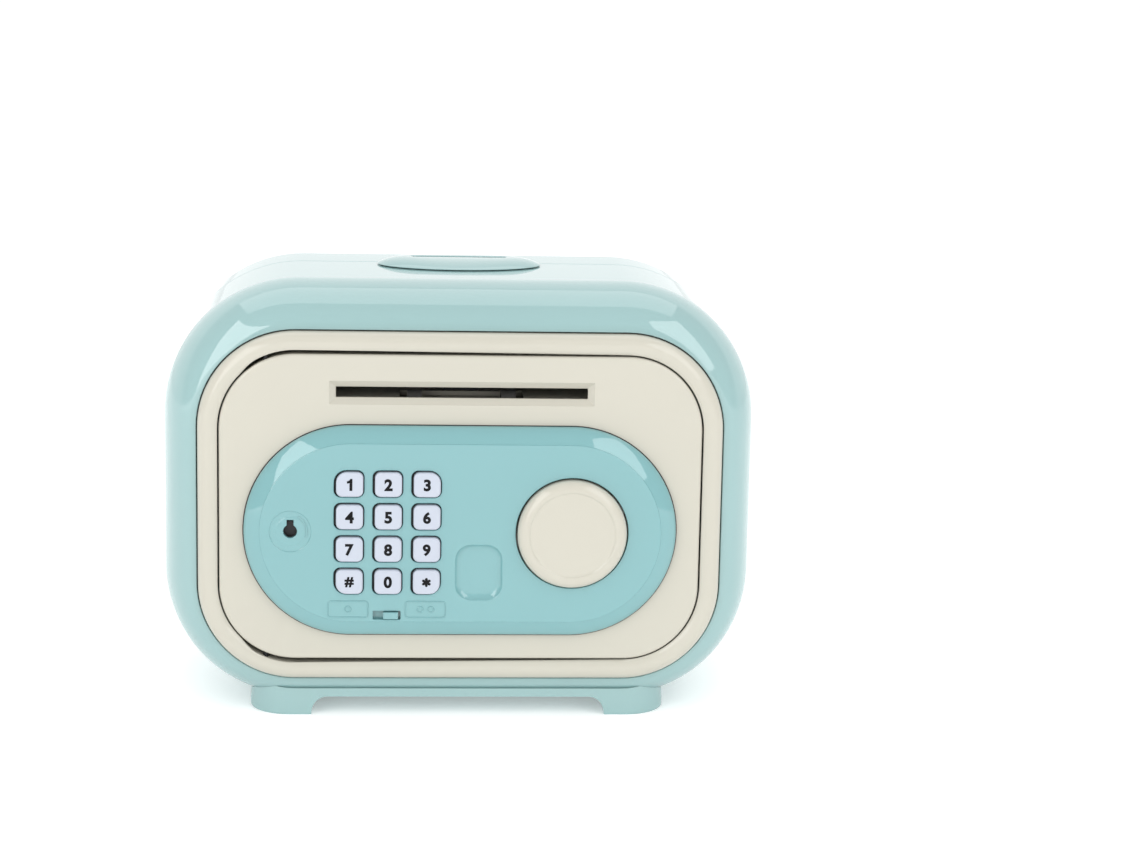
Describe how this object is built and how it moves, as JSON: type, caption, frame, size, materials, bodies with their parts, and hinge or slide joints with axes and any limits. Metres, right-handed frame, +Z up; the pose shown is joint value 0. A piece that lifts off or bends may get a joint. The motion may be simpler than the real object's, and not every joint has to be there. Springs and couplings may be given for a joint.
{
  "type": "toy atm savings bank",
  "caption": "Toy cash-machine savings bank with a hinged keypad door, turning latch knob, motor note feeder and a coin plate on top.",
  "frame": {"origin": "on the floor under the middle of the object's box, at the bottom of the stand", "axes": "+Z up, front and keypad towards -Y, +X to the right as seen from the front"},
  "size_m": [0.2056, 0.1244, 0.1516],
  "materials": {
    "blue": "glossy moulded ABS",
    "panel_blue": "satin moulded ABS",
    "cream": "glossy moulded ABS",
    "key": "satin",
    "grey": "moulded acetal",
    "black": "satin",
    "rubber": "moulded rubber",
    "board": "circuit board",
    "steel": "plated steel",
    "battery": "printed jacket over steel"
  },
  "bodies": {
    "housing": {"front_shell": "blue", "rear_shell": "blue", "front_frame": "cream", "base_stand": "blue", "coin_plate": "blue", "hinge_pin_upper": "steel", "hinge_pin_lower": "steel", "shell_screw_1": "steel", "shell_screw_2": "steel", "shell_screw_3": "steel", "shell_screw_4": "steel"},
    "door": {"door_panel": "cream", "control_panel": "panel_blue", "key_mat": "rubber", "key_board": "board", "switch_body": "steel", "door_back_cover": "cream", "cover_screw_1": "steel", "cover_screw_2": "steel", "cover_screw_3": "steel", "cover_screw_4": "steel", "feeder_frame": "cream", "feed_motor": "steel", "note_sensor": "black", "speaker": "black", "battery_1": "battery", "battery_2": "battery", "battery_3": "battery", "battery_tray": "cream", "contact_left": "steel", "contact_right": "steel", "latch_guide": "grey"},
    "key_1": {"key_1": "key"},
    "key_2": {"key_2": "key"},
    "key_3": {"key_3": "key"},
    "key_4": {"key_4": "key"},
    "key_5": {"key_5": "key"},
    "key_6": {"key_6": "key"},
    "key_7": {"key_7": "key"},
    "key_8": {"key_8": "key"},
    "key_9": {"key_9": "key"},
    "key_hash": {"key_hash": "key"},
    "key_0": {"key_0": "key"},
    "key_star": {"key_star": "key"},
    "language_slider": {"language_slider": "panel_blue"},
    "knob": {"knob_cap": "cream", "knob_spindle": "grey"},
    "latch": {"latch_bar": "grey"},
    "lock": {"lock_rotor": "black", "lock_cam": "grey"},
    "feed_drive": {"drive_shaft": "steel", "drive_roller_left": "rubber", "drive_roller_right": "rubber", "drive_gear": "grey"},
    "feed_pinch": {"pinch_shaft": "steel", "pinch_roller_left": "rubber", "pinch_roller_right": "rubber"},
    "motor_pinion": {"motor_pinion": "grey"},
    "battery_lid": {"battery_lid": "cream"}
  },
  "joints": [
    {"name": "door_hinge", "type": "hinge", "parent": "housing", "child": "door", "pos_m": [-0.066, -0.05085, 0.0736], "axis": [0, 0, -1], "range_deg": [0, 95]},
    {"name": "knob_turn", "type": "hinge", "parent": "door", "child": "knob", "pos_m": [0.03755, -0.05885, 0.0665], "axis": [0, 1, 0], "range_deg": [0, 60]},
    {"name": "latch_slide", "type": "slide", "parent": "door", "child": "latch", "axis": [1, 0, 0], "range_m": [0, 0.007]},
    {"name": "lock_turn", "type": "hinge", "parent": "door", "child": "lock", "pos_m": [-0.0575, -0.05285, 0.0667], "axis": [0, 1, 0], "range_deg": [0, 90]},
    {"name": "key_1_press", "type": "slide", "parent": "door", "child": "key_1", "axis": [0, 1, 0], "range_m": [0, 0.001], "stiffness_N_per_m": 500},
    {"name": "key_2_press", "type": "slide", "parent": "door", "child": "key_2", "axis": [0, 1, 0], "range_m": [0, 0.001], "stiffness_N_per_m": 500},
    {"name": "key_3_press", "type": "slide", "parent": "door", "child": "key_3", "axis": [0, 1, 0], "range_m": [0, 0.001], "stiffness_N_per_m": 500},
    {"name": "key_4_press", "type": "slide", "parent": "door", "child": "key_4", "axis": [0, 1, 0], "range_m": [0, 0.001], "stiffness_N_per_m": 500},
    {"name": "key_5_press", "type": "slide", "parent": "door", "child": "key_5", "axis": [0, 1, 0], "range_m": [0, 0.001], "stiffness_N_per_m": 500},
    {"name": "key_6_press", "type": "slide", "parent": "door", "child": "key_6", "axis": [0, 1, 0], "range_m": [0, 0.001], "stiffness_N_per_m": 500},
    {"name": "key_7_press", "type": "slide", "parent": "door", "child": "key_7", "axis": [0, 1, 0], "range_m": [0, 0.001], "stiffness_N_per_m": 500},
    {"name": "key_8_press", "type": "slide", "parent": "door", "child": "key_8", "axis": [0, 1, 0], "range_m": [0, 0.001], "stiffness_N_per_m": 500},
    {"name": "key_9_press", "type": "slide", "parent": "door", "child": "key_9", "axis": [0, 1, 0], "range_m": [0, 0.001], "stiffness_N_per_m": 500},
    {"name": "key_hash_press", "type": "slide", "parent": "door", "child": "key_hash", "axis": [0, 1, 0], "range_m": [0, 0.001], "stiffness_N_per_m": 500},
    {"name": "key_0_press", "type": "slide", "parent": "door", "child": "key_0", "axis": [0, 1, 0], "range_m": [0, 0.001], "stiffness_N_per_m": 500},
    {"name": "key_star_press", "type": "slide", "parent": "door", "child": "key_star", "axis": [0, 1, 0], "range_m": [0, 0.001], "stiffness_N_per_m": 500},
    {"name": "language_slide", "type": "slide", "parent": "door", "child": "language_slider", "axis": [-1, 0, 0], "range_m": [0, 0.003]},
    {"name": "feed_drive_spin", "type": "hinge", "parent": "door", "child": "feed_drive", "pos_m": [0, -0.03885, 0.1072], "axis": [1, 0, 0], "continuous": true},
    {"name": "feed_pinch_spin", "type": "hinge", "parent": "door", "child": "feed_pinch", "pos_m": [0, -0.03885, 0.1171], "axis": [1, 0, 0], "continuous": true},
    {"name": "motor_pinion_spin", "type": "hinge", "parent": "door", "child": "motor_pinion", "pos_m": [0.0525, -0.03885, 0.0944], "axis": [1, 0, 0], "continuous": true},
    {"name": "battery_lid_slide", "type": "slide", "parent": "door", "child": "battery_lid", "axis": [0, 1, 0], "range_m": [0, 0.012]}
  ],
  "couplings": [
    {"joint": "latch_slide", "follows": "knob_turn", "m_per_rad": 0.006684},
    {"joint": "feed_pinch_spin", "follows": "feed_drive_spin", "ratio": -1.1111},
    {"joint": "motor_pinion_spin", "follows": "feed_drive_spin", "ratio": -2}
  ]
}
